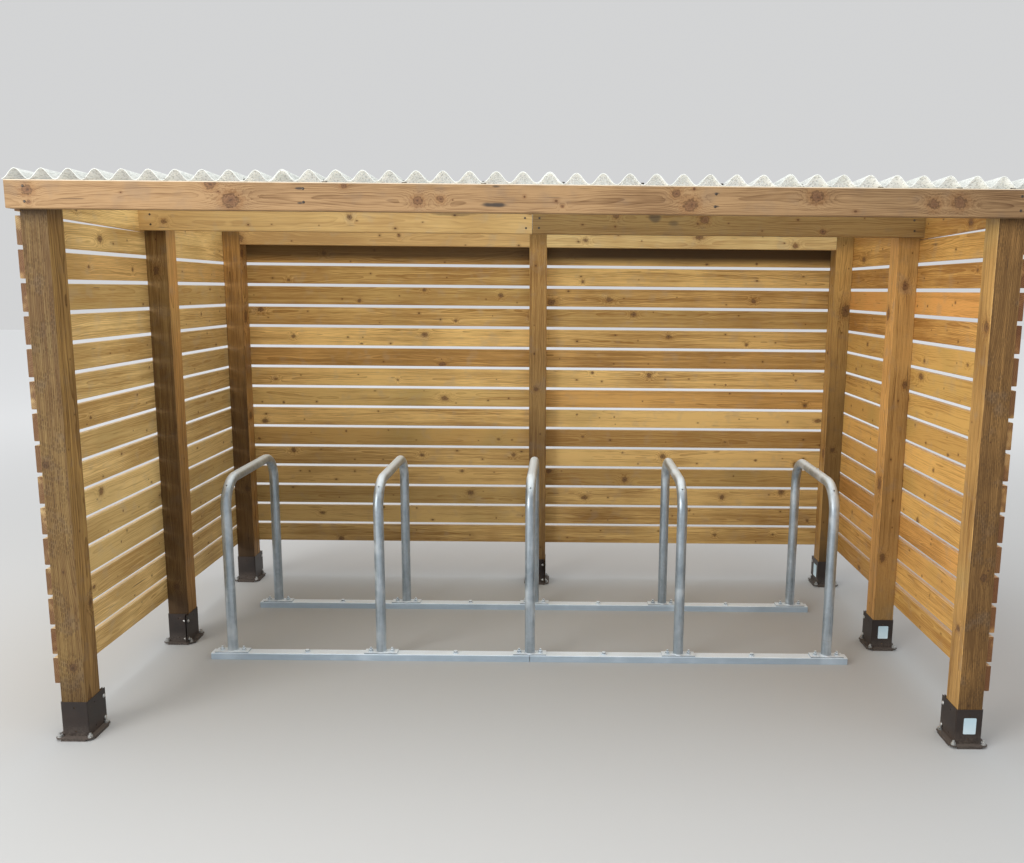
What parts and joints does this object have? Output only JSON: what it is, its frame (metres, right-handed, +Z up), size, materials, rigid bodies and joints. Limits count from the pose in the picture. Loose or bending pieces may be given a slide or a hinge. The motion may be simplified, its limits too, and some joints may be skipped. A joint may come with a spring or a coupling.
{
  "type": "cycle shelter",
  "caption": "Open-fronted timber bike shelter with slatted sides and back, a corrugated mono-pitch roof, bolt-down steel post shoes and a galvanised hoop rack inside.",
  "frame": {"origin": "middle of the footprint at floor level", "axes": "+X to the right seen from the open front, +Y to the back, +Z up"},
  "size_m": [3.71, 2.0524, 2.2045],
  "materials": {
    "post_wood": "rough sawn, pressure treated",
    "beam_wood": "planed, weathered",
    "slat_wood": "planed, pressure treated",
    "shoe_paint": "satin brown coating",
    "roof_sheet": "weathered translucent white",
    "zinc_steel": "hot-dip galvanised, dull"
  },
  "bodies": {
    "root": {"post_front_left": "post_wood", "post_mid_left": "post_wood", "post_back_left": "post_wood", "post_back_centre": "post_wood", "post_back_right": "post_wood", "post_mid_right": "post_wood", "post_front_right": "post_wood", "shoe_front_left": "shoe_paint", "shoe_mid_left": "shoe_paint", "shoe_back_left": "shoe_paint", "shoe_back_centre": "shoe_paint", "shoe_back_right": "shoe_paint", "shoe_mid_right": "shoe_paint", "shoe_front_right": "shoe_paint", "fascia_beam": "beam_wood", "mid_beam_left": "beam_wood", "mid_beam_right": "beam_wood", "back_beam_left": "beam_wood", "back_beam_right": "beam_wood", "side_slats_left": "slat_wood", "side_slats_right": "slat_wood", "top_board_left": "slat_wood", "top_board_right": "slat_wood", "back_slats_left": "slat_wood", "back_slats_right": "slat_wood", "roof_sheet_1": "roof_sheet", "roof_sheet_2": "roof_sheet", "roof_sheet_3": "roof_sheet", "roof_sheet_4": "roof_sheet", "rack_rail_front_left": "zinc_steel", "rack_rail_front_right": "zinc_steel", "rack_rail_back_left": "zinc_steel", "rack_rail_back_right": "zinc_steel", "rack_hoop_1": "zinc_steel", "rack_hoop_2": "zinc_steel", "rack_hoop_3": "zinc_steel", "rack_hoop_4": "zinc_steel", "rack_hoop_5": "zinc_steel"}
  },
  "joints": []
}
